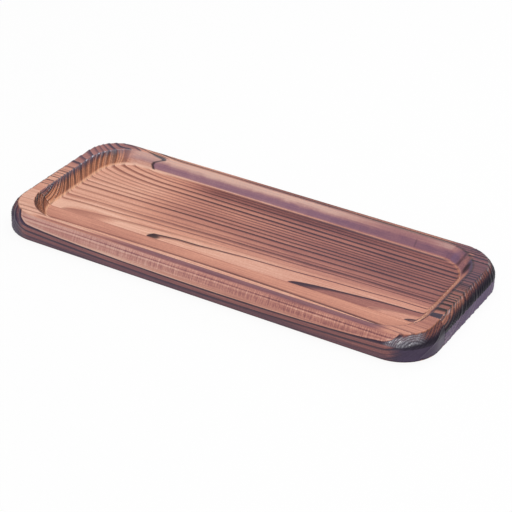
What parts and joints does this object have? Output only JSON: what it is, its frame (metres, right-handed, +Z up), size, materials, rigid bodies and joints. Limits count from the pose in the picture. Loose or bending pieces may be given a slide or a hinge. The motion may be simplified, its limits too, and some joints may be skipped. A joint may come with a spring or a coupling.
{
  "type": "condiment tray",
  "caption": "Long low wooden tray with rounded corners, glued up from two boards, with a shallow hollow, sloped walls and wide end rims, on low rubber feet, for bottles and shakers.",
  "frame": {"origin": "on the table, under the middle of the tray, level with the undersides of the feet", "axes": "+X along the tray to the right as the picture shows it, +Y across it to the back, +Z up"},
  "size_m": [0.36, 0.15, 0.0215],
  "materials": {
    "back_cedar": "charred and brushed cedar under a clear gloss coat",
    "front_cedar": "charred and brushed cedar under a clear gloss coat",
    "foot_rubber": "matt black rubber",
    "screw_steel": "plain stainless steel"
  },
  "bodies": {
    "root": {"back_board": "back_cedar", "front_board": "front_cedar", "foot_front_left": "foot_rubber", "foot_front_right": "foot_rubber", "foot_back_left": "foot_rubber", "foot_back_right": "foot_rubber", "foot_screw_front_left": "screw_steel", "foot_screw_front_right": "screw_steel", "foot_screw_back_left": "screw_steel", "foot_screw_back_right": "screw_steel"}
  },
  "joints": []
}
